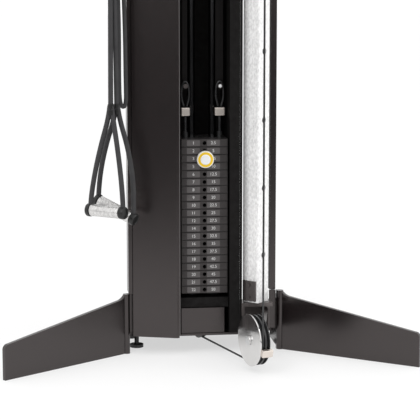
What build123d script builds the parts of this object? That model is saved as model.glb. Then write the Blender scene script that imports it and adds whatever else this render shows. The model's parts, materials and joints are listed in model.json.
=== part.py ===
from build123d import *
import math
import os

# Cable crossover machine, single weight tower with two splayed front legs.
# Millimetres, +Z up, -Y to the front. The origin is on the floor under the
# middle of the machine's bounding box; the tower's front plane is Y = 0.

# ---- driving dimensions -------------------------------------------------
TOP_Z = 2100            # overall height
TOWER_Z = 48            # underside of the tower's base plate
DECK_Z = 54             # top of the base plate
ON_DECK = DECK_Z + 0.5  # underside of what stands on it
POST_WALL = 3
HEAD_Z = 2060           # underside of the head plate
PANEL_TOP = 1915        # panels and shroud stop below the head pulleys
DEPTH_HALF = 250        # half of the overall depth

STRIP_Y = 21            # back of the black strip beside the weight window

PLATE_COUNT = 20        # weight plates, head plate included
PLATE_PITCH = 20.3
PLATE_GAP = 0.4
PLATE_HALF_W = 61
PLATE_FRONT_Y = 28
PLATE_DEPTH = 125
STACK_Z = 160           # underside of the lowest plate
PIN_ROW = 3             # row that the selector pin is in
GUIDE_X = 28            # guide rods, to each side of the centre
GUIDE_R = 10
GUIDE_TOP = 1900
SELECTOR_R = 11
PIN_R = 4.5
PIN_KNOB_R = 22.5
STACK_TRAVEL = 950

LEG_INNER = (208, 50)   # inner end of a leg plate, X and Y
LEG_TIP = (524, -190)
LEG_T = 10
LEG_H_INNER = 148
LEG_H_TIP = 90

COLUMN_X, COLUMN_Y = 136, 35.4
COLUMN_SIDE = 50
COLUMN_WALL = 4
COLUMN_Z = 135
COLUMN_HOLE_R = 8.5
COLUMN_HOLE_PITCH = 177
COLUMN_HOLE_Z = 260.5

CABLE_R = 2.5
GROOVE_CLEAR = 0.4      # cable surface to groove floor
WHEEL_W = 12            # one grooved rim
AXLE_R = 8
AXLE_FIT = 0.05
CHEEK_T = 5             # pulley cheek plates

LOW_CENTRE = (102, -174, 80)
LOW_ANGLE = 17.2        # degrees that the low pulley is turned to the right
LOW_R = 58              # cable centre line
TAIL_R = 45
HEAD_R = 50
UNDER_RUN = 330         # from the low pulley's centre back to the tail pulley's

HANG_Y = 75             # plane of the two lifting cables
LIFT_LEFT_X = -46
LIFT_RIGHT_X = 44
LINK_TOP = 940
HANDLE_X, HANDLE_Y = -240, -50
HANDLE_HOOK_Z = 1120
ROPE_R = 6.5

nodes = {}


def solids_of(shape):
    """Every solid of a shape or of a list of shapes."""
    if isinstance(shape, (list, tuple)):
        return [solid for item in shape for solid in solids_of(item)]
    return list(shape.solids())


def add(name, *shapes):
    """Keep one sub-part, or one group of like pieces, under its node name."""
    solids = solids_of(list(shapes))
    nodes[name] = solids[0] if len(solids) == 1 else Compound(children=solids)


def box(x0, x1, y0, y1, z0, z1):
    """A block between two corners."""
    centre = ((x0 + x1) / 2, (y0 + y1) / 2, (z0 + z1) / 2)
    return Pos(*centre) * Box(abs(x1 - x0), abs(y1 - y0), abs(z1 - z0))


def rod(start, end, radius):
    """A round bar between two points."""
    a, b = Vector(*start), Vector(*end)
    plane = Plane(origin=(a + b) / 2, z_dir=(b - a).normalized())
    return plane * Cylinder(radius, (b - a).length)


def tube_xy(x0, x1, y0, y1, z0, z1, wall):
    """An upright rectangular tube."""
    inner = box(x0 + wall, x1 - wall, y0 + wall, y1 - wall, z0 - 1, z1 + 1)
    return box(x0, x1, y0, y1, z0, z1) - inner


def prism(points, z0, z1):
    """A plan outline raised from z0 to z1."""
    face = make_face(Polyline(*[(x, y, z0) for x, y in points], close=True))
    return extrude(face, z1 - z0, dir=(0, 0, 1))


def heading(degrees):
    """Unit plan direction, turned from the front (-Y) towards +X."""
    t = math.radians(degrees)
    return Vector(math.sin(t), -math.cos(t), 0)


def wheel(centre, direction, radius, grooves=1, bore=AXLE_R + AXLE_FIT):
    """Grooved pulley wheel; direction is a plan vector in the wheel's plane.

    radius is the cable's centre line; grooves lie side by side.
    """
    side = Vector(direction.Y, -direction.X, 0)
    width = WHEEL_W * grooves
    rim = radius + 5.5
    shape = Cylinder(rim, width) - Cylinder(bore, width + 2)
    for k in range(grooves):
        z = (k - (grooves - 1) / 2) * WHEEL_W
        shape -= Pos(0, 0, z) * Torus(radius, CABLE_R + GROOVE_CLEAR)
        flare = Cylinder(rim + 1, 7.5) - Cylinder(radius + 1.5, 8)
        shape -= Pos(0, 0, z) * flare
    web = Cylinder(radius - 12, 3) - Cylinder(bore + 9, 4)
    shape -= Pos(0, 0, width / 2 - 1) * web
    shape -= Pos(0, 0, -width / 2 + 1) * web
    plane = Plane(origin=centre, x_dir=direction, z_dir=side)
    return plane * shape


def yoke_plates(centre, direction, half_gap, height, half_w, web_t=6):
    """Two cheek plates that hang an axle from a web at their top."""
    side = Vector(direction.Y, -direction.X, 0)
    plane = Plane(origin=centre, x_dir=direction, z_dir=side)
    cheek = Box(2 * half_w, height, CHEEK_T) + Pos(0, -height / 2, 0) * Cylinder(half_w, CHEEK_T)
    cheek = Pos(0, height / 2, 0) * cheek
    cheek -= Cylinder(AXLE_R, 2 * CHEEK_T)
    offset = half_gap + CHEEK_T / 2
    both = Pos(0, 0, offset) * cheek + Pos(0, 0, -offset) * cheek
    web = Pos(0, height - web_t / 2, 0) * Box(2 * half_w, web_t, 2 * half_gap + 4)
    return plane * (both + web)


def axle(centre, direction, half_len):
    """Axle bolt across a pulley, with a head at each end."""
    side = Vector(direction.Y, -direction.X, 0)
    plane = Plane(origin=centre, x_dir=direction, z_dir=side)
    body = Cylinder(AXLE_R, 2 * half_len)
    for sign in (1, -1):
        body += Pos(0, 0, sign * (half_len + 2.5)) * Cylinder(AXLE_R + 4, 5)
    return plane * body


def cord(points, radii, radius, name):
    """Round cord along straight runs joined by tangent arcs."""
    path = FilletPolyline(*points, radius=radii)
    start = Plane(origin=path @ 0, z_dir=path % 0)
    solid = sweep(start * Circle(radius), path=path)
    expected = math.pi * radius ** 2 * path.length
    print(name, "length", round(path.length, 1), "radii", [round(r, 1) for r in radii],
          "volume/expected", round(solid.volume / expected, 4))
    return solid


def soft_radii(points):
    """0.45 of the shorter run over the tangent of half the turn."""
    radii = []
    for a, b, c in zip(points, points[1:], points[2:]):
        u, v = Vector(*b) - Vector(*a), Vector(*c) - Vector(*b)
        half = math.radians(u.get_angle(v)) / 2
        radii.append(0.45 * min(u.length, v.length) / math.tan(half))
    return radii


# ---- base ---------------------------------------------------------------
low_dir = heading(LOW_ANGLE)
low_side = Vector(low_dir.Y, -low_dir.X, 0)      # towards the open side of the wheel
low_c = Vector(*LOW_CENTRE)
groove_c = low_c + low_side * (WHEEL_W / 2)      # middle of the groove that the cable uses
tail_c = groove_c - low_dir * UNDER_RUN
tail_c = Vector(tail_c.X, tail_c.Y, LOW_CENTRE[2] - LOW_R + TAIL_R)

base = prism([(-186, 60), (-60, 24), (90, 24), (186, 60), (172, 225), (-172, 225)], TOWER_Z, DECK_Z)
slot = Plane(origin=(tail_c.X, tail_c.Y, 51), x_dir=low_dir, z_dir=(0, 0, 1))
base -= slot * Box(2 * TAIL_R + 24, 24, 10)
add("base_plate", base)

rails = box(-188, -160, 160, 215, 20, 48) + box(160, 188, 160, 215, 20, 48)
add("base_frame", rails + box(-200, 200, 214, DEPTH_HALF, 14, 48))

FEET = [(-172, 120, 48), (172, 120, 48), (-180, 230, 14), (180, 230, 14)]
add("levelling_feet", *[rod((x, y, 0), (x, y, 8), 18) + rod((x, y, 8), (x, y, top), 6)
                        for x, y, top in FEET])


def leg(side):
    """Bent plate leg: a sloping front blade and a flange beside the tower."""
    ix, iy = LEG_INNER
    tx, ty = LEG_TIP
    run = math.hypot(tx - ix, ty - iy)
    along = Vector(tx - ix, ty - iy, 0).normalized()
    plane = Plane(origin=(ix, iy, 0), x_dir=along, z_dir=(along.Y, -along.X, 0))
    tip_r = 14
    edge = Polyline((0, LEG_H_INNER + 11), (0, 0), (run, 0), (run, LEG_H_TIP - tip_r))
    corner = RadiusArc((run, LEG_H_TIP - tip_r), (run - tip_r, LEG_H_TIP), -tip_r)
    slope = (LEG_H_INNER - LEG_H_TIP) / run
    foot_of_rise = (26, LEG_H_INNER - 26 * slope)
    top = Line((run - tip_r, LEG_H_TIP), foot_of_rise)
    rise = ThreePointArc(foot_of_rise, (10, LEG_H_INNER + 1.5), (0, LEG_H_INNER + 11))
    outline = make_face(Curve() + [edge, corner, top, rise])
    blade = extrude(plane * outline, LEG_T / 2, both=True)
    flange = box(ix - 13, ix - 3, iy, iy + 10, 0, LEG_H_INNER + 11)
    flange += box(ix - 13, ix - 3, iy + 10, iy + 110, 8, LEG_H_INNER - 12)
    bend = Pos(ix - 4, iy, (LEG_H_INNER + 11) / 2) * Cylinder(9, LEG_H_INNER + 11)
    shape = blade + flange + bend
    return shape if side > 0 else mirror(shape, about=Plane.YZ)


def side_bracket(side):
    """Black angle that bolts a leg's flange to the tower."""
    shape = box(177, 194.5, 62, 100, ON_DECK, 157) - box(170, 188, 68, 101, 60, 160)
    for z in (80, 130):
        shape += rod((194.5, 80, z), (189, 80, z), 7)
    return shape if side > 0 else mirror(shape, about=Plane.YZ)


add("left_leg", leg(-1))
add("right_leg", leg(1))
add("leg_brackets", side_bracket(-1), side_bracket(1))

# ---- tower --------------------------------------------------------------
add("rear_posts", tube_xy(-170, -135, 188, 222, DECK_Z, HEAD_Z, POST_WALL),
    tube_xy(135, 170, 188, 222, DECK_Z, HEAD_Z, POST_WALL))
sheet = [(-76, 0), (-69, 2), (-69, 14), (-72, 14), (-72, 4.3), (-76, 3.1), (-184, 37.2),
         (-184, 49), (-187, 48), (-187, 35)]
panel = prism(sheet, TOWER_Z, PANEL_TOP)
add("left_panel", panel)
left_post = prism([(-198, 47), (-188, 44), (-188, 54), (-178, 56), (-178, 100), (-198, 100)],
                  160, HEAD_Z)
right_post = prism([(177, 56), (193, 60), (193, 100), (177, 100)], 160, HEAD_Z)
left_post -= box(-195, -181, 58, 97, 159, HEAD_Z + 1)
right_post -= box(180, 190, 62, 97, 159, HEAD_Z + 1)
add("front_posts", left_post, right_post)
add("shroud_left", box(-68.5, -66, 14.5, 199.5, ON_DECK, PANEL_TOP))
right_wall = box(64.5, 67, STRIP_Y, 199.5, ON_DECK, PANEL_TOP)
right_wall += box(64.5, 91, STRIP_Y - 3, STRIP_Y, ON_DECK, PANEL_TOP)
right_wall += box(88, 91, STRIP_Y, STRIP_Y + 16, ON_DECK, PANEL_TOP)
add("shroud_right", right_wall)
add("shroud_back", box(-68.5, 67, 200, 203, ON_DECK, PANEL_TOP))
cover = box(-61, 52, 28, 32, ON_DECK, 121) + box(-61, -58, 32, 60, ON_DECK, 121)
cover += box(49, 52, 32, 60, ON_DECK, 121)
add("base_cover", cover)

# ---- head ---------------------------------------------------------------
head = prism([(-198, 40), (-69, 0), (90, 0), (150, -6), (198, 40), (198, 235), (-198, 235)],
             HEAD_Z, HEAD_Z + 10)
add("head_plate_top", head)
cap = prism([(-190, 50), (-66, 10), (190, 10), (190, 228), (-190, 228)], HEAD_Z + 10, TOP_Z)
cap -= prism([(-187, 52.2), (-65.5, 13), (187, 13), (187, 225), (-187, 225)], HEAD_Z + 9, TOP_Z - 3)
add("head_cap", cap)

# ---- column and low pulley ----------------------------------------------
COLUMN_HOLES = 10
diagonal = math.sqrt(0.5)
face_dir = Vector(diagonal, -diagonal, 0)        # the right front face, with the holes
left_face = Vector(-diagonal, -diagonal, 0)
outer = Box(COLUMN_SIDE, COLUMN_SIDE, HEAD_Z - COLUMN_Z)
inner_side = COLUMN_SIDE - 2 * COLUMN_WALL
inner = Box(inner_side, inner_side, HEAD_Z - COLUMN_Z + 2)
vertical = [e for e in outer.edges() if abs(e.length - (HEAD_Z - COLUMN_Z)) < 0.01]
outer = fillet(vertical, 4)
column = Pos(COLUMN_X, COLUMN_Y, (HEAD_Z + COLUMN_Z) / 2) * Rot(0, 0, 45) * (outer - inner)
for k in range(COLUMN_HOLES):
    z = COLUMN_HOLE_Z + COLUMN_HOLE_PITCH * k
    mouth = Vector(COLUMN_X, COLUMN_Y, z) + face_dir * COLUMN_SIDE / 2
    column -= rod(tuple(mouth - face_dir * 10), tuple(mouth + face_dir * 5), COLUMN_HOLE_R)
add("column", column)
foot_at = Vector(COLUMN_X, COLUMN_Y, 166) + left_face * (COLUMN_SIDE / 2 + 2.6)
foot_plane = Plane(origin=foot_at, x_dir=(0, 0, 1), z_dir=left_face)
foot_plate = foot_plane * Box(53, 40, 5)
for dz in (-16, 16):
    foot_plate += foot_plane * Pos(dz, 0, 4) * Cylinder(5, 4)
saddle = box(96, 178, 12, 62, 124, 134) + box(96, 178, 56, 62, ON_DECK, 124)
saddle += box(96, 104, 12, 56, 100, 124)
add("column_saddle", saddle, foot_plate)

side_c = low_c - low_side * 22.0
arm = prism([(side_c.X - 6, side_c.Y - 14), (side_c.X + 6, side_c.Y - 11), (166, 11),
             (166, 54), (154, 54), (150, 14)], ON_DECK, 118)
arm -= Plane(origin=side_c, x_dir=low_dir, z_dir=low_side) * Cylinder(AXLE_R, 60)
add("low_pulley_arm", arm)
add("low_pulley_wheel", wheel(low_c, low_dir, LOW_R, grooves=2))
low_plane = Plane(origin=low_c, x_dir=low_dir, z_dir=low_side)
disc = Cylinder(66, 2.5)
disc = chamfer(disc.edges().sort_by(Axis.Z)[-1], 1) - Cylinder(AXLE_R + 0.5, 6)
add("low_pulley_guard", low_plane * Pos(0, 0, 14.6) * disc)
low_axle = low_plane * (Pos(0, 0, -5.6) * Cylinder(AXLE_R, 46) + Pos(0, 0, 18.9) * Cylinder(12, 5))

# ---- tail pulley under the tower ----------------------------------------
add("tail_wheel", wheel(tail_c, low_dir, TAIL_R))
cheek_plane = Plane(origin=tail_c, x_dir=low_dir, z_dir=low_side)
tail_cheeks = [cheek_plane * (Pos(0, 0, sign * 16) * Box(96, 26, 4) - Cylinder(AXLE_R, 60))
               for sign in (1, -1)]
tail_axle = axle(tail_c, low_dir, 18)

# ---- weight stack -------------------------------------------------------
stack_mid_y = PLATE_FRONT_Y + PLATE_DEPTH / 2
stack_top = STACK_Z + PLATE_COUNT * PLATE_PITCH


def plate_z(row):
    """Underside of a row, counted from 1 at the top."""
    return stack_top - row * PLATE_PITCH


def weight_plate(row):
    """Cast plate with two guide bores, a selector bore and a pin hole."""
    z0 = plate_z(row)
    z1 = z0 + PLATE_PITCH - PLATE_GAP
    shape = box(-PLATE_HALF_W, PLATE_HALF_W, PLATE_FRONT_Y, PLATE_FRONT_Y + PLATE_DEPTH, z0, z1)
    shape = chamfer([e for e in shape.edges() if abs(e.center().Y - PLATE_FRONT_Y) < 0.01], 1.2)
    mid = (z0 + z1) / 2
    for x in (-GUIDE_X, GUIDE_X):
        shape -= Pos(x, stack_mid_y, mid) * Cylinder(GUIDE_R + 1.5, 40)
    shape -= Pos(0, stack_mid_y, mid) * Cylinder(SELECTOR_R + (1.5 if row > 1 else 0), 40)
    shape -= rod((0, PLATE_FRONT_Y - 1, mid), (0, stack_mid_y + 24, mid), PIN_R + 0.5)
    return shape


add("head_weight", weight_plate(1))
add("weight_plate_02", weight_plate(2))
add("weight_plate_03", weight_plate(3))
add("weight_plates_04_to_20", *[weight_plate(row) for row in range(PIN_ROW + 1, PLATE_COUNT + 1)])
guides = [rod((x, stack_mid_y, 148), (x, stack_mid_y, GUIDE_TOP), GUIDE_R)
          for x in (-GUIDE_X, GUIDE_X)]
add("guide_rods", box(-66, 64.5, 80, 104, GUIDE_TOP, GUIDE_TOP + 8), *guides)
buffer = Pos(0, stack_mid_y, 154) * (Cylinder(20, 11) - Cylinder(GUIDE_R + 0.2, 12))
add("stack_buffers", *[Pos(x, 0, 0) * buffer for x in (-GUIDE_X, GUIDE_X)])
add("stack_support", box(-64, 63, 32.5, 150, 122, 148))
pin_z = plate_z(PIN_ROW) + (PLATE_PITCH - PLATE_GAP) / 2
selector = rod((0, stack_mid_y, 172), (0, stack_mid_y, stack_top - PLATE_GAP), SELECTOR_R)
for row in range(2, PLATE_COUNT):
    z = plate_z(row) + (PLATE_PITCH - PLATE_GAP) / 2
    selector -= rod((0, stack_mid_y - 20, z), (0, stack_mid_y + 20, z), PIN_R + 0.5)
add("selector_rod", selector)
pin = rod((0, PLATE_FRONT_Y - 4, pin_z), (0, stack_mid_y + 22, pin_z), PIN_R)
add("selector_pin", pin)
knob = rod((0, PLATE_FRONT_Y - 24, pin_z), (0, PLATE_FRONT_Y - 3, pin_z), PIN_KNOB_R)
knob = fillet(knob.edges(), 3)
knob -= rod((0, PLATE_FRONT_Y - 4, pin_z), (0, PLATE_FRONT_Y + 4, pin_z), PIN_R)
add("selector_knob", knob)

# ---- lifting links on the head weight -----------------------------------


def link_set(x, width):
    """Flat link, bolt, cable eye and crimp above one side of the head weight."""
    link = box(x - width / 2, x + width / 2, HANG_Y - 3, HANG_Y + 3, 690, LINK_TOP)
    link -= rod((x, HANG_Y - 6, 701), (x, HANG_Y + 6, 701), 4)
    bolt = rod((x, HANG_Y - 18, 701), (x, HANG_Y + 7, 701), 4)
    bolt += rod((x, HANG_Y - 22, 701), (x, HANG_Y - 18, 701), 6)
    bolt += rod((x, HANG_Y + 3, 701), (x, HANG_Y + 7, 701), 6)
    low, high = 648, 692
    eye_y = HANG_Y - 10
    eye = Plane(origin=(x, eye_y, 0), x_dir=(1, 0, 0), z_dir=(0, -1, 0))
    route = [(x - 4, eye_y, low), (x - 10.5, eye_y, 672), (x - 9, eye_y, 700),
             (x, eye_y, 717), (x + 9, eye_y, 700), (x + 10.5, eye_y, 672), (x + 4, eye_y, low)]
    loop = cord(route, soft_radii(route), CABLE_R, "eye")
    crimp_w = 24 if x < 0 else 28
    crimp = box(x - crimp_w / 2, x + crimp_w / 2, eye_y - 8, eye_y + 8, 623, low - 3)
    crimp = fillet(crimp.edges(), 3)
    tail = rod((x, eye_y, stack_top), (x, eye_y, 623), CABLE_R + 1)
    stud = rod((x, eye_y, stack_top - PLATE_GAP), (x, eye_y, stack_top + 16), 7)
    return link, bolt, loop, crimp, tail + stud


left_set = link_set(LIFT_LEFT_X, 13)
right_set = link_set(LIFT_RIGHT_X, 20)
for index, name in enumerate(("lift_links", "link_bolts", "cable_eyes", "cable_crimps",
                              "head_cable_tails")):
    add(name, left_set[index], right_set[index])

# ---- head pulleys -------------------------------------------------------
head_wheel_z = 1985
rear_drop = tail_c - low_dir * TAIL_R             # cable rising behind the stack
front_drop = Vector(LIFT_RIGHT_X, HANG_Y, 0)
back_plan = Vector(rear_drop.X, rear_drop.Y, 0)
right_r = (front_drop - back_plan).length / 2
right_dir = (front_drop - back_plan).normalized()
right_c = (front_drop + back_plan) / 2 + Vector(0, 0, head_wheel_z)
add("head_wheel_right", wheel(right_c, right_dir, right_r))

arm_at = Vector(HANDLE_X, HANDLE_Y, 0)
lift_at = Vector(LIFT_LEFT_X, HANG_Y, 0)
left_dir = (arm_at - lift_at).normalized()
left_c = lift_at + left_dir * HEAD_R + Vector(0, 0, head_wheel_z)
arm_c = arm_at - left_dir * HEAD_R + Vector(0, 0, head_wheel_z)
add("head_wheel_left", wheel(left_c, left_dir, HEAD_R))
add("arm_wheel", wheel(arm_c, left_dir, HEAD_R))
head_pulleys = [(right_c, right_dir), (left_c, left_dir), (arm_c, left_dir)]
add("head_yokes", *[yoke_plates(c, d, 7, HEAD_Z - head_wheel_z, 16, 4) for c, d in head_pulleys])
add("tail_yoke", *tail_cheeks)
add("pulley_axles", low_axle, tail_axle, *[axle(c, d, 12.2) for c, d in head_pulleys])
left_arm = Plane(origin=(arm_c.X, arm_c.Y, HEAD_Z + 5), x_dir=left_dir, z_dir=(0, 0, 1))
plate = left_arm * Box(150, 60, 10)
add("left_arm", (plate - nodes["head_plate_top"]).solids().sort_by(Axis.X)[0])

# ---- high pulley on the right arm ---------------------------------------
pivot = groove_c + low_dir * LOW_R                   # plan place of the front cable
high_dir = Vector(1, 0, 0)
high_c = Vector(pivot.X + HEAD_R, pivot.Y, 1950)
add("high_wheel", wheel(high_c, high_dir, HEAD_R))
high_yoke = yoke_plates(high_c, high_dir, 7, 75, 16, 6)
high_yoke += box(pivot.X - 18, high_c.X, pivot.Y - 12, pivot.Y + 12, 2019, 2025)
high_yoke += rod((pivot.X, pivot.Y, 2020), (pivot.X, pivot.Y, HEAD_Z + 14), 11.95)
add("high_yoke", high_yoke)
add("high_axle", axle(high_c, high_dir, 12.2))
right_arm = prism([(pivot.X - 30, -6.5), (pivot.X - 18, pivot.Y - 19.4), (pivot.X + 18, pivot.Y - 19.4),
                   (pivot.X + 30, -6.5)], HEAD_Z - 30, HEAD_Z + 10)
right_arm += box(pivot.X - 30, 148, -6.5, 0, HEAD_Z - 30, HEAD_Z + 10)
right_arm -= rod((pivot.X, pivot.Y, HEAD_Z - 40), (pivot.X, pivot.Y, HEAD_Z + 20), 12)
add("right_arm", right_arm - nodes["head_plate_top"])

# ---- cables -------------------------------------------------------------
cable_z = LOW_CENTRE[2] - LOW_R
up_back = Vector(rear_drop.X, rear_drop.Y, 0)
corner_low = Vector(pivot.X, pivot.Y, cable_z)
points = [(back_plan.X, back_plan.Y, head_wheel_z - 5), (up_back.X, up_back.Y, cable_z),
          tuple(corner_low), (pivot.X, pivot.Y, 1945)]
add("front_cable", cord(points, [TAIL_R, LOW_R], CABLE_R, "front_cable"))


def over_wheel(centre, direction, radius, name):
    """Half turn of cable over the top of a wheel."""
    side = Vector(direction.Y, -direction.X, 0)
    plane = Plane(origin=centre, x_dir=direction, z_dir=side)
    ring = Torus(radius, CABLE_R) & Pos(0, 200, 0) * Box(400, 400, 20)
    print(name, "half turn", round(math.pi * radius, 1))
    return plane * ring


right_turn = over_wheel(right_c, right_dir, right_r, "right head cable")
add("high_cable", over_wheel(high_c, high_dir, HEAD_R, "high_cable"))
add("high_cable_drop", rod((high_c.X + HEAD_R, high_c.Y, 1950),
                           (high_c.X + HEAD_R, high_c.Y, 1762.2), CABLE_R))
stop = Pos(high_c.X + HEAD_R, high_c.Y, 1745) * Sphere(17)
hook = Pos(high_c.X + HEAD_R, high_c.Y, 1690) * Rot(90, 0, 0) * Torus(16, 4)
hook += rod((high_c.X + HEAD_R, high_c.Y, 1706), (high_c.X + HEAD_R, high_c.Y, 1728), 6)
add("high_cable_end", stop + hook)

left_top = head_wheel_z + HEAD_R
left_route = [(lift_at.X, lift_at.Y, head_wheel_z - 5), (lift_at.X, lift_at.Y, left_top),
              (arm_at.X, arm_at.Y, left_top), (arm_at.X, arm_at.Y, HANDLE_HOOK_Z + 38.3)]
add("head_cables", right_turn, cord(left_route, [HEAD_R, HEAD_R], CABLE_R, "left cable"))
lift_left = rod((LIFT_LEFT_X, HANG_Y, LINK_TOP), (LIFT_LEFT_X, HANG_Y, head_wheel_z - 5), CABLE_R)
lift_right = rod((LIFT_RIGHT_X, HANG_Y, LINK_TOP), (LIFT_RIGHT_X, HANG_Y, head_wheel_z), CABLE_R)
add("lift_cables", lift_left, lift_right)
keeper = low_plane * Rot(0, 0, -17) * Pos(70.3, 0, -1.2) * Box(11.4, 19, 29)
add("cable_keeper", fillet(keeper.edges(), 2))

# ---- rope handles -------------------------------------------------------
hook_ring = Pos(HANDLE_X, HANDLE_Y, HANDLE_HOOK_Z) * Rot(90, 0, 0) * Torus(20, 4.5)
hook_ring += rod((HANDLE_X, HANDLE_Y, HANDLE_HOOK_Z + 18), (HANDLE_X, HANDLE_Y, HANDLE_HOOK_Z + 30), 6)
hook_ring += Pos(HANDLE_X, HANDLE_Y, HANDLE_HOOK_Z + 30) * Sphere(8)
add("handle_hook", hook_ring)

handles = {"front": ((-299, -30, 396), (-224, -92, 396)), "rear": ((-276, 18, 412), (-194, -46, 374))}
necks = {"front": (-247, -56), "rear": (-231, -44)}
bow = {"front": 5, "rear": 11}
cores, caps, ties, ropes = [], [], [], []
for label, (left_end, right_end) in handles.items():
    a, b = Vector(*left_end), Vector(*right_end)
    line = (b - a).normalized()
    cores.append(rod(tuple(a - line * 6), tuple(b + line * 6), 8))
    sleeve = rod(tuple(a + line * 14), tuple(b - line * 4), 15.5) - rod(tuple(a), tuple(b), 8.05)
    add("handle_grip_" + label, sleeve)
    caps.append(rod(tuple(a - line * 8), tuple(a + line * 12), 17) - cores[-1])
    caps.append(rod(tuple(b - line * 2), tuple(b + line * 10), 15) - cores[-1])
    neck_x, neck_y = necks[label]
    for end, lean in ((a + line * 1, -1), (b + line * 4, 1)):
        top = Vector(neck_x + lean * 7, neck_y, 633.5)
        run = Vector(end.X, end.Y, end.Z + 24) - top
        side = Vector(run.X, run.Y, 0).normalized()
        route = [tuple(top), tuple(top + run * 0.35 + side * bow[label]),
                 tuple(top + run * 0.7 + side * bow[label]), tuple(top + run)]
        ropes.append(cord(route, soft_radii(route), ROPE_R, "strand " + label))
    ties.append(Pos(neck_x, neck_y, 652) * Cylinder(15, 30))
    ropes.append(rod((neck_x, neck_y, 667.3), ((neck_x + HANDLE_X) / 2, HANDLE_Y, 1090), ROPE_R))
loop_route = [(-226, -36, 1098), (-225, -14, 1000), (-221, -8, 850), (-222, -6, 720), (-220, -6, 655),
              (-204, -4, 655), (-205, -4, 720), (-206, -6, 850), (-211, -12, 1000), (-211, -30, 1098)]
ropes.append(cord(loop_route, soft_radii(loop_route), 5.5, "spare loop"))
add("handle_cores", *cores)
add("handle_fittings", *caps, *ties)
add("handle_ropes", *ropes)

# ---- write --------------------------------------------------------------
os.makedirs("parts", exist_ok=True)
corners = [shape.bounding_box() for shape in nodes.values()]
lowest = [min(getattr(c.min, k) for c in corners) for k in "XYZ"]
highest = [max(getattr(c.max, k) for c in corners) for k in "XYZ"]
print("nodes", len(nodes))
print("box", [round(v, 2) for v in lowest + highest])
for name, shape in nodes.items():
    export_step(shape, "parts/" + name + ".step")
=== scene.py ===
import json
import math

import bmesh
import bpy
from mathutils import Matrix, Vector


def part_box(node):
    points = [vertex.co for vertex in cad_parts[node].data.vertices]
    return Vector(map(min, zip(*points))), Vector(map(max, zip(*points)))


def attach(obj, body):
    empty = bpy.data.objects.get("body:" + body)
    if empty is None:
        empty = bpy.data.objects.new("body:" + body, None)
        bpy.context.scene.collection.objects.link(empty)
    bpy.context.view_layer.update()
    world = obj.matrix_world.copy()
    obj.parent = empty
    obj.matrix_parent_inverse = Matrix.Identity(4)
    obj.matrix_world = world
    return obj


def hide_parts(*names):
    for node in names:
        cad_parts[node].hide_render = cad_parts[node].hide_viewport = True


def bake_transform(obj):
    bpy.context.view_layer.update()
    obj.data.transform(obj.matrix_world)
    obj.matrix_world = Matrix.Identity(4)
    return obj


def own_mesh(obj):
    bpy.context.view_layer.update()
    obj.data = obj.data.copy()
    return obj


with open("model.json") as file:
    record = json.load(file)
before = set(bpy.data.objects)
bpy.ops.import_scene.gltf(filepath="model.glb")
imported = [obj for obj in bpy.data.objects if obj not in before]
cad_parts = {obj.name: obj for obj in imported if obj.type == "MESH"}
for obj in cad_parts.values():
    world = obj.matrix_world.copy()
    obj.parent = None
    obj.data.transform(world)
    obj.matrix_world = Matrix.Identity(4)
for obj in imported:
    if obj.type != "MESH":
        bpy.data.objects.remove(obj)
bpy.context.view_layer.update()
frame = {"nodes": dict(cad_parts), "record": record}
NODES = frame["nodes"]
SLOT_OF = {row["node"]: row["material_slot"] for row in frame["record"]["subparts"]}
MM = 0.001

# ---- camera -------------------------------------------------------------
CAMERA_AT = (-0.502, -4.024, 1.007)
CAMERA_YAW = 7.26        # degrees to the right of straight ahead
CAMERA_PITCH = 8.72      # degrees below the horizon
LENS = 136.2             # millimetres on a 36 mm sensor


def make_camera():
    """A long lens without roll or shift."""
    data = bpy.data.cameras.new("camera")
    data.lens = LENS
    data.sensor_width = 36.0
    camera = bpy.data.objects.new("camera", data)
    bpy.context.scene.collection.objects.link(camera)
    turn = Matrix.Rotation(math.radians(-CAMERA_YAW), 4, "Z")
    tilt = Matrix.Rotation(math.radians(90 - CAMERA_PITCH), 4, "X")
    camera.matrix_world = Matrix.Translation(CAMERA_AT) @ turn @ tilt
    bpy.context.scene.camera = camera


make_camera()

# ---- small helpers ------------------------------------------------------
def link(name, mesh, material=None, body=None):
    """A new mesh object, with its material, riding on a body."""
    piece = bpy.data.objects.new(name, mesh)
    bpy.context.scene.collection.objects.link(piece)
    if material is not None:
        mesh.materials.clear()
        mesh.materials.append(material)
    if body is not None:
        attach(piece, body)
    return piece


def bevel(piece, width=0.8 * MM, segments=2):
    """Rounded edges that catch the light."""
    modifier = piece.modifiers.new("edge", "BEVEL")
    modifier.width = width
    modifier.segments = segments
    modifier.limit_method = "ANGLE"
    modifier.angle_limit = math.radians(35)
    modifier.harden_normals = False


def smooth(mesh, angle=35):
    """Smooth shading that keeps edges sharper than the angle."""
    mesh.polygons.foreach_set("use_smooth", [True] * len(mesh.polygons))
    mesh.set_sharp_from_angle(angle=math.radians(angle))


def frame_at(origin, axis, up=(0, 0, 1)):
    """A matrix whose Z is the axis and whose Y is as near up as it can be."""
    z = Vector(axis).normalized()
    x = Vector(up).cross(z)
    if x.length < 1e-6:
        x = Vector((1, 0, 0))
    x.normalize()
    y = z.cross(x)
    matrix = Matrix((x, y, z)).transposed().to_4x4()
    matrix.translation = Vector(origin)
    return matrix


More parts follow.
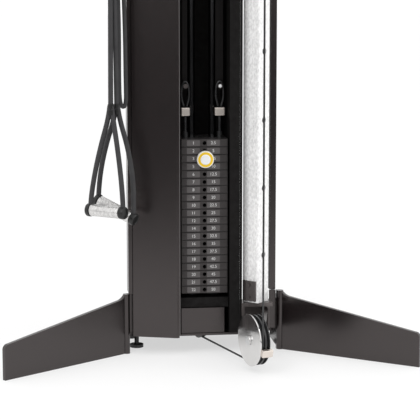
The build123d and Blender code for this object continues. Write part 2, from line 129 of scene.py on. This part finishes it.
def lathe(name, rings, at, segments=72, spans=None):
    """A turned mesh: rings are (radius, height) along the frame's Z.

    spans gives each stretch between two rings its material index.
    """
    bm = bmesh.new()
    loops = []
    for radius, height in rings:
        loop = []
        for k in range(segments):
            t = 2 * math.pi * k / segments
            loop.append(bm.verts.new(at @ Vector((radius * math.cos(t), radius * math.sin(t), height))))
        loops.append(loop)
    for i, (low, high) in enumerate(zip(loops, loops[1:])):
        for k in range(segments):
            n = (k + 1) % segments
            face = bm.faces.new((low[k], low[n], high[n], high[k]))
            face.material_index = spans[i] if spans else 0
    bm.faces.new(list(reversed(loops[0]))).material_index = spans[0] if spans else 0
    bm.faces.new(loops[-1]).material_index = spans[-1] if spans else 0
    bmesh.ops.recalc_face_normals(bm, faces=bm.faces)
    mesh = bpy.data.meshes.new(name)
    bm.to_mesh(mesh)
    bm.free()
    smooth(mesh, 32)
    return mesh


def plate(bm, low, high, corner=0.0):
    """Adds a block with rounded corners in X and Z to a bmesh."""
    steps = 4 if corner else 0
    outline = []
    centres = [(high[0] - corner, high[2] - corner, 0), (low[0] + corner, high[2] - corner, 90),
               (low[0] + corner, low[2] + corner, 180), (high[0] - corner, low[2] + corner, 270)]
    for cx, cz, start in centres:
        for k in range(steps + 1):
            t = math.radians(start + (90.0 * k / steps if steps else 0))
            outline.append((cx + corner * math.cos(t), cz + corner * math.sin(t)))
    front = [bm.verts.new((x, low[1], z)) for x, z in outline]
    back = [bm.verts.new((x, high[1], z)) for x, z in outline]
    bm.faces.new(front)
    bm.faces.new(list(reversed(back)))
    count = len(outline)
    for k in range(count):
        n = (k + 1) % count
        bm.faces.new((front[n], front[k], back[k], back[n]))


# ---- materials ----------------------------------------------------------
def new_material(name):
    """A node material, with its tree and its shader."""
    material = bpy.data.materials.new(name)
    material.use_nodes = True
    tree = material.node_tree
    return material, tree, tree.nodes["Principled BSDF"]


def noise(tree, scale, detail=4.0, stretch=(1, 1, 1), rough=0.55):
    """Noise in object space, stretched along the axes."""
    coords = tree.nodes.new("ShaderNodeTexCoord")
    mapping = tree.nodes.new("ShaderNodeMapping")
    mapping.inputs["Scale"].default_value = stretch
    texture = tree.nodes.new("ShaderNodeTexNoise")
    texture.inputs["Scale"].default_value = scale
    texture.inputs["Detail"].default_value = detail
    texture.inputs["Roughness"].default_value = rough
    tree.links.new(coords.outputs["Object"], mapping.inputs["Vector"])
    tree.links.new(mapping.outputs["Vector"], texture.inputs["Vector"])
    return texture.outputs["Fac"]


def ramp(tree, value, low, high, start=0.35, end=0.65):
    """A colour or grey ramp over a value."""
    node = tree.nodes.new("ShaderNodeValToRGB")
    for stop, colour, at in zip(node.color_ramp.elements, (low, high), (start, end)):
        stop.position = at
        stop.color = (*colour, 1.0) if isinstance(colour, tuple) else (colour, colour, colour, 1.0)
    tree.links.new(value, node.inputs["Fac"])
    return node.outputs["Color"]


def bump(tree, shader, value, strength, distance):
    """Relief from a value."""
    node = tree.nodes.new("ShaderNodeBump")
    node.inputs["Strength"].default_value = strength
    node.inputs["Distance"].default_value = distance
    tree.links.new(value, node.inputs["Height"])
    tree.links.new(node.outputs["Normal"], shader.inputs["Normal"])


def wear(tree, shader, base, edge, amount=0.35):
    """Lighter paint where an edge is rubbed."""
    geometry = tree.nodes.new("ShaderNodeNewGeometry")
    sharp = ramp(tree, geometry.outputs["Pointiness"], 0.0, 1.0, 0.58, 0.72)
    mask = tree.nodes.new("ShaderNodeMath")
    mask.operation = "MULTIPLY"
    tree.links.new(sharp, mask.inputs[0])
    tree.links.new(ramp(tree, noise(tree, 60, 5), 0.0, amount * 2), mask.inputs[1])
    mix = tree.nodes.new("ShaderNodeMix")
    mix.data_type = "RGBA"
    tree.links.new(mask.outputs[0], mix.inputs["Factor"])
    tree.links.new(base, mix.inputs["A"])
    mix.inputs["B"].default_value = (*edge, 1.0)
    tree.links.new(mix.outputs["Result"], shader.inputs["Base Color"])


def powder_coat(name, dark, light, rough=(0.30, 0.325), grain=1500, gloss=0.9):
    """Fine-textured powder coat with faint clouding, rubbed edges and a settable gloss."""
    material, tree, shader = new_material(name)
    base = ramp(tree, noise(tree, 3.0, 3, (1, 1, 0.4)), dark, light, 0.2, 0.8)
    wear(tree, shader, base, tuple(min(1.0, 3.2 * c) for c in light))
    gloss_map = ramp(tree, noise(tree, 220, 2), rough[0], rough[1], 0.1, 0.9)
    tree.links.new(gloss_map, shader.inputs["Roughness"])
    shader.inputs["Specular IOR Level"].default_value = gloss
    shader.inputs["Specular Tint"].default_value = (1.0, 0.91, 0.90, 1.0)
    bump(tree, shader, noise(tree, grain, 2), 0.05, 0.0002)
    return material


def metal(name, colour, rough, stretch, scale=40, strength=0.08, mottle=0.0, metallic=1.0):
    """Metal with a grain along the stretched axis; mottle adds a fine speckle."""
    material, tree, shader = new_material(name)
    dark = tuple(c * (0.86 - mottle) for c in colour)
    cloud = noise(tree, 190 if mottle else 5, 6, (1, 1, 0.6))
    tree.links.new(ramp(tree, cloud, dark, colour, 0.38, 0.62), shader.inputs["Base Color"])
    shader.inputs["Metallic"].default_value = metallic
    grain = noise(tree, scale, 6, stretch, 0.65)
    tree.links.new(ramp(tree, grain, rough[0], rough[1], 0.3, 0.7), shader.inputs["Roughness"])
    bump(tree, shader, grain, strength, 0.0003)
    return material


def plastic(name, colour, rough, grain=500, strength=0.08, coat=0.0):
    """Moulded plastic or rubber with slight clouding."""
    material, tree, shader = new_material(name)
    dark = tuple(c * 0.82 for c in colour)
    tree.links.new(ramp(tree, noise(tree, 18, 5), dark, colour), shader.inputs["Base Color"])
    tree.links.new(ramp(tree, noise(tree, 45, 4), rough * 0.85, min(1.0, rough * 1.15)),
                   shader.inputs["Roughness"])
    shader.inputs["Coat Weight"].default_value = coat
    shader.inputs["Coat Roughness"].default_value = 0.1
    bump(tree, shader, noise(tree, grain, 3), strength, 0.0004)
    return material


MATERIALS = {
    "black_coat": powder_coat("black_coat", (0.0034, 0.0022, 0.0023), (0.0042, 0.0028, 0.0029),
                              (0.24, 0.26)),
    "inner_black": powder_coat("inner_black", (0.003, 0.003, 0.003), (0.004, 0.004, 0.004),
                               (0.6, 0.7), 700, 0.15),
    "grey_coat": powder_coat("grey_coat", (0.040, 0.035, 0.034), (0.046, 0.040, 0.039)),
    "stack_iron": powder_coat("stack_iron", (0.014, 0.013, 0.013), (0.019, 0.018, 0.018),
                              (0.42, 0.55), 420, 0.5),
    "polished_tube": metal("polished_tube", (0.98, 0.975, 0.97), (0.22, 0.40), (1, 1, 0.05),
                           60, 0.05, 0.09, 0.25),
    "bright_steel": metal("bright_steel", (0.78, 0.78, 0.78), (0.12, 0.26), (1, 1, 0.05), 90),
    "zinc": metal("zinc", (0.80, 0.73, 0.67), (0.30, 0.48), (1, 1, 1), 160, 0.2),
    "grip_steel": metal("grip_steel", (0.80, 0.79, 0.78), (0.24, 0.36), (1, 0.2, 1), 140, 0.1, 0.12),
    "guard_steel": metal("guard_steel", (0.78, 0.77, 0.76), (0.08, 0.20), (1, 1, 1), 12, 0.03),
    "pulley_black": plastic("pulley_black", (0.020, 0.020, 0.021), 0.34),
    "rubber": plastic("rubber", (0.020, 0.020, 0.021), 0.52, 300, 0.2),
    "cable_jacket": plastic("cable_jacket", (0.022, 0.022, 0.023), 0.30, 600, 0.05, 0.3),
    "rope_black": plastic("rope_black", (0.034, 0.033, 0.035), 0.70, 1400, 0.5),
    "knob_cream": plastic("knob_cream", (0.86, 0.84, 0.76), 0.30, 300, 0.03, 0.4),
}
guide_steel = metal("guide_steel", (0.11, 0.11, 0.115), (0.12, 0.20), (1, 1, 0.05), 90)
# Lighter grey on the black shroud's folded window edge: a painted highlight where the edge catches the
# light
folded_edge_painted_highlight = powder_coat("folded_edge_painted_highlight", (0.085, 0.080, 0.080), (0.10, 0.095, 0.095))
cap_black = plastic("cap_black", (0.007, 0.007, 0.007), 0.38)
knob_centre = plastic("knob_centre", (0.80, 0.81, 0.82), 0.35, 200, 0.03, 0.6)
knob_yellow = plastic("knob_yellow", (0.80, 0.52, 0.015), 0.32, 300, 0.03, 0.4)
label_grey = plastic("label_grey", (0.082, 0.074, 0.074), 0.42, 300, 0.04)
digit_white = plastic("digit_white", (0.62, 0.62, 0.61), 0.45, 300, 0.02)

LOOKS = {"guide_rods": guide_steel, "link_bolts": MATERIALS["grey_coat"],
         "lift_links": MATERIALS["inner_black"],
         "shroud_right": MATERIALS["inner_black"]}
SHARP_NODES = {"front_cable", "head_cables", "high_cable", "lift_cables", "cable_eyes", "handle_hook"}
for name, node in NODES.items():
    node.data.materials.clear()
    node.data.materials.append(LOOKS.get(name, MATERIALS[SLOT_OF[name]]))
    if name not in SHARP_NODES:
        bevel(node, 0.6 * MM if name.startswith("weight") else 0.9 * MM)

# ---- weight numbers -----------------------------------------------------
PLATE_COUNT = 20
head_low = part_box("head_weight")[0]
stack_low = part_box("weight_plates_04_to_20")[0]
pitch = (head_low[2] - stack_low[2]) / (PLATE_COUNT - 1)
face_y = head_low[1]
LIFTED_ROWS = 3
LEFT_NUMBERS = list(range(1, 4)) + list(range(5, 13)) + list(range(14, 23))
STEP_KG = 2.5            # the right column counts in these steps
LABEL_SPANS = ((-0.046, -0.012), (0.006, 0.040))
LABEL_HALF_H = 7.6 * MM
LABEL_PROUD = 0.4 * MM   # how far a patch stands off the plate
DIGIT_SIZE = 11.0 * MM
DIGIT_DEPTH = 0.15 * MM
PLATE_MID = 10 * MM      # a row's middle above its underside


def text_mesh(text, size, x, z):
    """Flat digits centred on a point of the stack's face."""
    data = bpy.data.curves.new("digits", "FONT")
    data.body = text
    data.size = size
    data.align_x = "CENTER"
    data.align_y = "CENTER"
    data.extrude = DIGIT_DEPTH
    scratch = bpy.data.objects.new("digits", data)
    mesh = bpy.data.meshes.new_from_object(scratch)
    upright = Matrix.Rotation(math.pi / 2, 4, "X")
    mesh.transform(Matrix.Translation((x, face_y - LABEL_PROUD - DIGIT_DEPTH, z)) @ upright)
    bpy.data.objects.remove(scratch)
    return mesh


def number_rows(rows, label, body):
    """Label patches and their numbers on some rows of the stack."""
    patches, digits = bmesh.new(), bmesh.new()
    for row in rows:
        z = head_low[2] - (row - 1) * pitch + PLATE_MID
        for span in LABEL_SPANS:
            plate(patches, (span[0], face_y - LABEL_PROUD, z - LABEL_HALF_H),
                  (span[1], face_y + 0.3 * MM, z + LABEL_HALF_H), 1.5 * MM)
        texts = (str(LEFT_NUMBERS[row - 1]), ("%.1f" % (STEP_KG * row)).replace(".0", ""))
        for text, span in zip(texts, LABEL_SPANS):
            digits.from_mesh(text_mesh(text, DIGIT_SIZE, sum(span) / 2, z))
    for part, bm, material in (("patches", patches, label_grey), ("digits", digits, digit_white)):
        bmesh.ops.recalc_face_normals(bm, faces=bm.faces)
        mesh = bpy.data.meshes.new(label + "_" + part)
        bm.to_mesh(mesh)
        bm.free()
        link(label + "_" + part, mesh, material, body)


number_rows(range(1, LIFTED_ROWS + 1), "lifted_number", "stack")
number_rows(range(LIFTED_ROWS + 1, PLATE_COUNT + 1), "number", "tower")

# ---- selector knob and bolt cap -----------------------------------------
knob_low, knob_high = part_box("selector_knob")
knob_r = (knob_high[2] - knob_low[2]) / 2
knob_z = (knob_high[2] + knob_low[2]) / 2
knob_depth = knob_high[1] - knob_low[1]


def make_knob():
    """Turned knob: cream rim, yellow ring and a bright centre."""
    at = frame_at(((knob_low[0] + knob_high[0]) / 2, knob_high[1], knob_z), (0, -1, 0))
    profile = [(0.30, 0.0), (0.80, 0.0), (0.93, 0.06), (0.97, 0.30), (1.0, 0.62), (0.985, 0.80),
               (0.94, 0.92), (0.90, 0.955), (0.86, 0.955), (0.84, 0.93), (0.60, 0.93), (0.585, 0.955),
               (0.55, 0.985), (0.44, 1.0), (0.22, 1.0), (0.04, 1.0)]
    rings = [(r * knob_r, h * knob_depth) for r, h in profile]
    spans = [0] * 8 + [1] * 3 + [2] * 4
    mesh = lathe("knob", rings, at, 96, spans)
    for material in (MATERIALS["knob_cream"], knob_yellow, knob_centre):
        mesh.materials.append(material)
    knob = link("knob", mesh, None, "pin")
    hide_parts("selector_knob")


make_knob()


def make_bolt_cap():
    """Bright domed cap on the right link's bolt."""
    low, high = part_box("link_bolts")
    radius = 4.2 * MM
    at = frame_at((high[0] - 6 * MM, low[1] - 0.2 * MM, (low[2] + high[2]) / 2), (0, -1, 0))
    profile = [(1.0, 0.0), (1.0, 0.12), (0.93, 0.20), (0.75, 0.26), (0.45, 0.28), (0.35, 0.22),
               (0.05, 0.22)]
    mesh = lathe("bolt_cap", [(r * radius, h * radius) for r, h in profile], at, 40)
    link("bolt_cap", mesh, knob_centre, "stack")


make_bolt_cap()

# ---- rope handles -------------------------------------------------------
ROPE_R = 6.5 * MM
HANDLE_HOOK = Vector((-0.240, -0.050, 1.090))
SPLICE_TOP = 0.6673      # where a rope meets the splice of its strands
SPLICE_MID = 0.662       # how high the strands run on inside the splice
STRAND_TOP = 0.6335
WINDING_FROM = 0.639     # two windings hold the splice
WINDING_STEP = 0.015
WINDING_HEIGHT = 0.012
# label, ends of the grip, plan place of the neck, how far the strands bow
HANDLES = (
    ("front", (-0.299, -0.030, 0.396), (-0.224, -0.092, 0.396), (-0.247, -0.056), 5 * MM),
    ("rear", (-0.276, 0.018, 0.412), (-0.194, -0.046, 0.374), (-0.231, -0.044), 11 * MM),
)
# the grips, in millimetres
GRIP_R = 15.4
GROOVE_R = 14.8
GRIP_BORE = 8.2
GRIP_FROM = 5            # the sleeve starts this far inside the left end
GRIP_SHORT = 4           # and stops this far before the right end
RING_PITCH = 5.2
LOOP_R = 5.5 * MM
# the spare loop's route, in millimetres
SPARE_LOOP = ((-226, -36, 1098), (-225, -14, 1000), (-221, -8, 850), (-222, -6, 720), (-220, -6, 655),
              (-204, -4, 655), (-205, -4, 720), (-206, -6, 850), (-211, -12, 1000), (-211, -30, 1098))


def spline_points(points, steps=60):
    """Points read from a NURBS curve through a given route."""
    data = bpy.data.curves.new("route", "CURVE")
    data.dimensions = "3D"
    data.resolution_u = steps
    spline = data.splines.new("NURBS")
    spline.points.add(len(points) - 1)
    for point, place in zip(spline.points, points):
        point.co = (*place, 1.0)
    spline.order_u = 3
    spline.use_endpoint_u = True
    scratch = bpy.data.objects.new("route", data)
    mesh = bpy.data.meshes.new_from_object(scratch)
    line = [v.co.copy() for v in mesh.vertices]
    bpy.data.objects.remove(scratch)
    return line


def resample(line, spacing):
    """Evenly spaced points along a fine polyline."""
    result, carried = [line[0]], 0.0
    for a, b in zip(line, line[1:]):
        length = (b - a).length
        while carried + length >= spacing and length > 0:
            a = a + (b - a) * ((spacing - carried) / length)
            result.append(a)
            length = (b - a).length
            carried = 0.0
        carried += length
    if (result[-1] - line[-1]).length > spacing * 0.3:
        result.append(line[-1])
    return result


def braid(bm, line, radius, strands=8, lay=26 * MM, around=40):
    """Adds a braided rope: two sets of strands that cross over each other."""
    points = resample(line, 1.1 * MM)
    normal = (points[1] - points[0]).orthogonal().normalized()
    rings, travelled = [], 0.0
    for i, point in enumerate(points):
        ahead = points[min(i + 1, len(points) - 1)] - points[max(i - 1, 0)]
        tangent = ahead.normalized()
        normal = (normal - tangent * normal.dot(tangent)).normalized()
        side = tangent.cross(normal)
        if i:
            travelled += (point - points[i - 1]).length
        turn = 2 * math.pi * travelled / lay
        ring = []
        for k in range(around):
            t = 2 * math.pi * k / around
            right = math.cos(strands / 2 * (t + turn))
            left = math.cos(strands / 2 * (t - turn))
            relief = 0.86 + 0.14 * max(abs(right), abs(left)) ** 0.8
            ring.append(bm.verts.new(point + (normal * math.cos(t) + side * math.sin(t)) * radius * relief))
        rings.append(ring)
    for low, high in zip(rings, rings[1:]):
        for k in range(around):
            n = (k + 1) % around
            bm.faces.new((low[k], low[n], high[n], high[k]))
    bm.faces.new(list(reversed(rings[0])))
    bm.faces.new(rings[-1])


def helix(centre, radius, bottom, top, turns, steps=28):
    """Points of a close winding about a vertical line."""
    count = turns * steps
    return [Vector((centre[0] + radius * math.cos(2 * math.pi * k / steps),
                    centre[1] + radius * math.sin(2 * math.pi * k / steps),
                    bottom + (top - bottom) * k / count)) for k in range(count + 1)]


def round_cord(bm, line, radius, around=12):
    """Adds a plain round cord along points."""
    rings = []
    for i, point in enumerate(line):
        tangent = (line[min(i + 1, len(line) - 1)] - line[max(i - 1, 0)]).normalized()
        up = Vector((0, 0, 1))
        normal = (up - tangent * up.dot(tangent)).normalized()
        side = tangent.cross(normal)
        rings.append([bm.verts.new(point + (normal * math.cos(t) + side * math.sin(t)) * radius)
                      for t in (2 * math.pi * k / around for k in range(around))])
    for low, high in zip(rings, rings[1:]):
        for k in range(around):
            n = (k + 1) % around
            bm.faces.new((low[k], low[n], high[n], high[k]))
    bm.faces.new(list(reversed(rings[0])))
    bm.faces.new(rings[-1])


def make_ropes():
    """Two ropes, the four strands of their bridles and the spare loop, all braided."""
    bm = bmesh.new()
    for _, left_end, right_end, neck, bow in HANDLES:
        a, b = Vector(left_end), Vector(right_end)
        line = (b - a).normalized()
        for end, lean in ((a + line * 1 * MM, -1), (b + line * 4 * MM, 1)):
            top = Vector((neck[0] + lean * 5 * MM, neck[1], STRAND_TOP))
            run = Vector((end.x, end.y, end.z + 24 * MM)) - top
            side = Vector((run.x, run.y, 0)).normalized()
            into_tie = Vector((neck[0] + lean * 2 * MM, neck[1], SPLICE_MID))
            into_cap = end + Vector((0, 0, 9 * MM))
            route = [into_tie, top, top + run * 0.35 + side * bow, top + run * 0.7 + side * bow,
                     top + run, into_cap]
            braid(bm, spline_points(route), ROPE_R)
        low = Vector((neck[0], neck[1], SPLICE_TOP))
        high = Vector(((neck[0] + HANDLE_HOOK.x) / 2, HANDLE_HOOK.y, HANDLE_HOOK.z))
        braid(bm, [low - Vector((0, 0, 12 * MM)), (low + high) / 2, high], ROPE_R)
    braid(bm, spline_points([Vector(p) * MM for p in SPARE_LOOP]), LOOP_R)
    bmesh.ops.recalc_face_normals(bm, faces=bm.faces)
    mesh = bpy.data.meshes.new("braided_ropes")
    bm.to_mesh(mesh)
    bm.free()
    smooth(mesh, 60)
    ropes = link("braided_ropes", mesh, MATERIALS["rope_black"], "handles")
    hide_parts("handle_ropes")


make_ropes()


def turned_between(name, start, end, rings, material, body):
    """A turned piece: rings are (radius, distance from start towards end) in millimetres."""
    at = frame_at(start, Vector(end) - Vector(start))
    mesh = lathe(name, [(r * MM, z * MM) for r, z in rings], at, 64)
    return link(name, mesh, material, body)


def make_fittings():
    """Rope splices at the necks and cupped end caps on the grips."""
    parts = bmesh.new()
    for _, left_end, right_end, neck, _ in HANDLES:
        a, b = Vector(left_end), Vector(right_end)
        line = (b - a).normalized()
        for end, out, radius, depth in ((a, -line, 17.0, (-3.5, 8.0)), (b, line, 15.8, (-2.5, 11.0))):
            at = frame_at(end, out)
            low, high = depth
            rings = [(8.1, low), (radius - 1.5, low), (radius, low + 1.5), (radius, high - 3.0),
                     (radius - 1.0, high - 0.8), (radius - 2.6, high), (radius - 4.2, high),
                     (radius - 5.0, high - 0.8), (radius - 5.4, high - 3.8)]
            mesh = lathe("cap", [(r * MM, z * MM) for r, z in rings], at, 48)
            parts.from_mesh(mesh)
        for turn in range(2):
            start = WINDING_FROM + WINDING_STEP * turn
            winding = helix(neck, (7.9 - turn) * MM, start, start + WINDING_HEIGHT, 6)
            round_cord(parts, winding, 1.0 * MM, 10)
    bmesh.ops.recalc_face_normals(parts, faces=parts.faces)
    mesh = bpy.data.meshes.new("rope_fittings")
    parts.to_mesh(mesh)
    parts.free()
    smooth(mesh, 40)
    fittings = link("rope_fittings", mesh, cap_black, "handles")
    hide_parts("handle_fittings")


def make_grip(label, left_end, right_end):
    """Steel sleeve with turned rings, between the two end caps."""
    a, b = Vector(left_end), Vector(right_end)
    line = (b - a).normalized()
    length = (b - a).length / MM - GRIP_FROM - GRIP_SHORT
    rings = [(GRIP_BORE, 0.0), (GRIP_R - 0.8, 0.0), (GRIP_R, 0.8)]
    place = 4.0
    while place < length - 5:
        rings += [(GRIP_R, place), (GROOVE_R, place + 0.5), (GROOVE_R, place + 1.3), (GRIP_R, place + 1.8)]
        place += RING_PITCH
    rings += [(GRIP_R, length - 0.8), (GRIP_R - 0.8, length), (GRIP_BORE, length)]
    sleeve = turned_between("grip_" + label, a + line * GRIP_FROM * MM, b, rings, MATERIALS["grip_steel"],
                            label + "_grip")
    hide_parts("handle_grip_" + label)


make_fittings()
for handle in HANDLES:
    make_grip(*handle[:3])

# ---- folded edges of the shroud -----------------------------------------
PANEL_SPAN = (0.0545, 1.915)


def folded_strip(name, outline, material):
    """A thin folded strip: its plan outline carried up the tower."""
    bm = bmesh.new()
    low, high = ([bm.verts.new((x * MM, y * MM, z)) for x, y in outline] for z in PANEL_SPAN)
    bm.faces.new(list(reversed(low)))
    bm.faces.new(high)
    for k in range(len(outline)):
        n = (k + 1) % len(outline)
        bm.faces.new((low[k], low[n], high[n], high[k]))
    bmesh.ops.recalc_face_normals(bm, faces=bm.faces)
    mesh = bpy.data.meshes.new(name)
    bm.to_mesh(mesh)
    bm.free()
    bevel(link(name, mesh, material, "tower"), 0.3 * MM)


folded_strip("column_edge", [(91.2, 18), (97.5, 18), (97.5, 30), (96.3, 30), (96.3, 19.2), (91.2, 19.2)],
             MATERIALS["inner_black"])
# The window's folded edge is black shroud sheet; its lighter grey is a painted highlight
folded_strip("window_edge", [(-68.8, 3), (-66.6, 3), (-66.6, 14), (-67.4, 14), (-67.4, 4), (-68.8, 4)],
             folded_edge_painted_highlight)

# ---- cables that change length ------------------------------------------
CABLE_R = 2.5 * MM
lift_low, lift_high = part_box("lift_cables")
lift_y = (lift_low[1] + lift_high[1]) / 2
drop_low, drop_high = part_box("high_cable_drop")
drop_x, drop_y = (drop_low[0] + drop_high[0]) / 2, (drop_low[1] + drop_high[1]) / 2


def straight_cable(name, x, y, low, high, body=None):
    """A round cable along Z, cut into many rings so that it can change length."""
    count = 60
    rings = [(CABLE_R, (high - low) * k / count) for k in range(count + 1)]
    mesh = lathe(name, rings, Matrix.Translation((x, y, low)), 20)
    return link(name, mesh, MATERIALS["cable_jacket"], body)


for label, x, top in (("left", lift_low[0] + CABLE_R, lift_high[2] - 5 * MM),
                      ("right", lift_high[0] - CABLE_R, lift_high[2])):
    lift = straight_cable("lift_cable_" + label, x, lift_y, lift_low[2], top, "stack")
    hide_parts("lift_cables")
    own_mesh(lift)

drop = straight_cable("high_drop", drop_x, drop_y, drop_low[2], drop_high[2])
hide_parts("high_cable_drop")
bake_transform(drop)

# ---- floor and light ----------------------------------------------------
FLOOR_HALF = 30.0
SWEEP_FADE = (-2.9, -0.6)  # between these the white sweep fades to dark in reflections
FLOOR_GLOW = 0.6         # share of the floor's light that is its own
WORLD_FRONT_FADE = (-0.68, -0.38)
WORLD_RISE_FADE = (-0.02, 0.10)
WORLD_LEVEL = 1.08


def direction_part(tree, source, axis):
    """One component of a vector output."""
    split = tree.nodes.new("ShaderNodeSeparateXYZ")
    tree.links.new(source, split.inputs[0])
    return split.outputs[axis]


def map_range(tree, value, low, high, to_low, to_high):
    """A smooth step from one range to another."""
    node = tree.nodes.new("ShaderNodeMapRange")
    node.interpolation_type = "SMOOTHSTEP"
    for name, number in (("From Min", low), ("From Max", high), ("To Min", to_low), ("To Max", to_high)):
        node.inputs[name].default_value = number
    tree.links.new(value, node.inputs["Value"])
    return node.outputs["Result"]


def maths(tree, operation, a, b):
    """One operation on two values, each a number or a socket."""
    node = tree.nodes.new("ShaderNodeMath")
    node.operation = operation
    for socket, value in zip(node.inputs, (a, b)):
        if isinstance(value, float):
            socket.default_value = value
        else:
            tree.links.new(value, socket)
    return node.outputs[0]


def make_floor():
    """Pale sweep; glossy rays find it dark in front of its edge, as in a dark studio."""
    bm = bmesh.new()
    corners = [(-1, -1), (1, -1), (1, 1), (-1, 1)]
    bm.faces.new([bm.verts.new((x * FLOOR_HALF, y * FLOOR_HALF, 0)) for x, y in corners])
    mesh = bpy.data.meshes.new("floor")
    bm.to_mesh(mesh)
    bm.free()
    material, tree, shader = new_material("floor")
    shader.inputs["Base Color"].default_value = (0.95, 0.95, 0.95, 1.0)
    shader.inputs["Roughness"].default_value = 0.7
    shader.inputs["Specular IOR Level"].default_value = 0.1
    place = tree.nodes.new("ShaderNodeNewGeometry").outputs["Position"]
    glossy = tree.nodes.new("ShaderNodeLightPath").outputs["Is Glossy Ray"]
    beyond = map_range(tree, direction_part(tree, place, 1), *SWEEP_FADE, 1.0, 0.0)
    dark = tree.nodes.new("ShaderNodeBsdfDiffuse")
    dark.inputs["Color"].default_value = (0.01, 0.01, 0.01, 1.0)
    mix = tree.nodes.new("ShaderNodeMixShader")
    tree.links.new(maths(tree, "MULTIPLY", glossy, beyond), mix.inputs[0])
    glow = tree.nodes.new("ShaderNodeEmission")
    lit = tree.nodes.new("ShaderNodeMixShader")
    lit.inputs[0].default_value = FLOOR_GLOW
    tree.links.new(shader.outputs[0], lit.inputs[1])
    tree.links.new(glow.outputs[0], lit.inputs[2])
    tree.links.new(lit.outputs[0], mix.inputs[1])
    tree.links.new(dark.outputs[0], mix.inputs[2])
    tree.links.new(mix.outputs[0], tree.nodes["Material Output"].inputs["Surface"])
    link("floor", mesh, material)


def make_world():
    """White studio whose camera side is dim in reflections, and bright above."""
    world = bpy.data.worlds.new("studio")
    world.use_nodes = True
    tree = world.node_tree
    background = tree.nodes["Background"]
    way = tree.nodes.new("ShaderNodeTexCoord").outputs["Generated"]
    front = map_range(tree, direction_part(tree, way, 1), *WORLD_FRONT_FADE, 0.0, 1.0)
    above = map_range(tree, direction_part(tree, way, 2), *WORLD_RISE_FADE, 0.0, 1.0)
    level = maths(tree, "MAXIMUM", front, above)
    glossy = tree.nodes.new("ShaderNodeLightPath").outputs["Is Glossy Ray"]
    plain = maths(tree, "SUBTRACT", 1.0, glossy)
    strength = maths(tree, "MULTIPLY", maths(tree, "MAXIMUM", plain, level), WORLD_LEVEL)
    tree.links.new(strength, background.inputs["Strength"])
    background.inputs["Color"].default_value = (1.0, 1.0, 1.0, 1.0)
    bpy.context.scene.world = world


def area_light(name, at, target, size, power):
    """A rectangular lamp that looks at a target."""
    data = bpy.data.lights.new(name, "AREA")
    data.shape = "RECTANGLE"
    data.size, data.size_y = size
    data.energy = power
    lamp = bpy.data.objects.new(name, data)
    lamp.matrix_world = frame_at(at, Vector(at) - Vector(target))
    bpy.context.scene.collection.objects.link(lamp)


make_floor()
make_world()
bpy.context.scene.view_settings.view_transform = "Standard"
area_light("key", (-2.2, -3.2, 3.4), (0, 0, 0.6), (1.6, 1.6), 40)
area_light("fill", (3.0, -1.6, 2.4), (0, 0, 0.8), (1.2, 2.2), 20)
